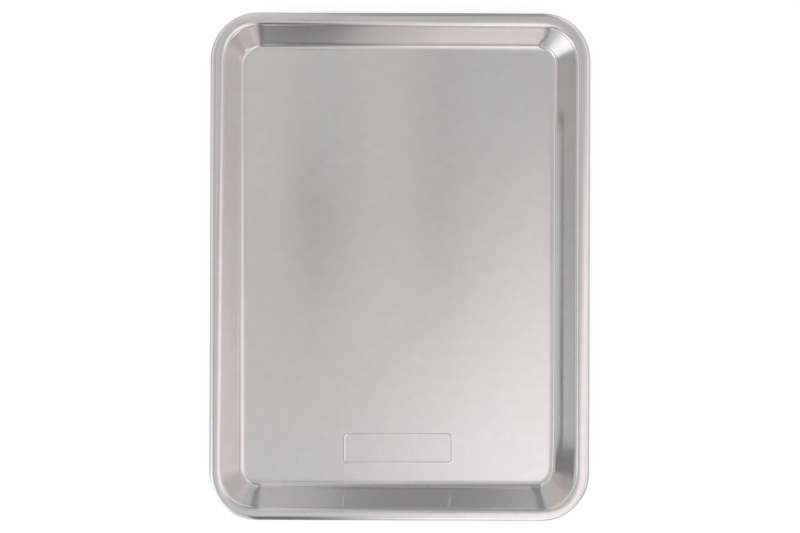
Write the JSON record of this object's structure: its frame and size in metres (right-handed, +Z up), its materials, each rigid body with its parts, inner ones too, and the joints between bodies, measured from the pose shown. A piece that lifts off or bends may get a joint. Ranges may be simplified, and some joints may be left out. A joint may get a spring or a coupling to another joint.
{
  "type": "jelly roll pan",
  "caption": "Shallow oblong baking tray drawn from one aluminium sheet, with sloped walls, rounded corners and a flat rim rolled round a hidden stiffening wire.",
  "frame": {"origin": "centre of the tray's underside, on the surface that it stands on", "axes": "+Z up, out of the tray's mouth; +Y along the long sides, away from the end with the stamped panel; +X to the right seen from above"},
  "size_m": [0.281, 0.375, 0.0254],
  "materials": {
    "drawn_aluminium": "satin mill finish with a fine cross grain, burnished brighter at the corners, bends and rim",
    "galvanised_wire": "dull zinc grey, drawn wire"
  },
  "bodies": {
    "root": {"pan_sheet": "drawn_aluminium", "rim_wire": "galvanised_wire"}
  },
  "joints": []
}
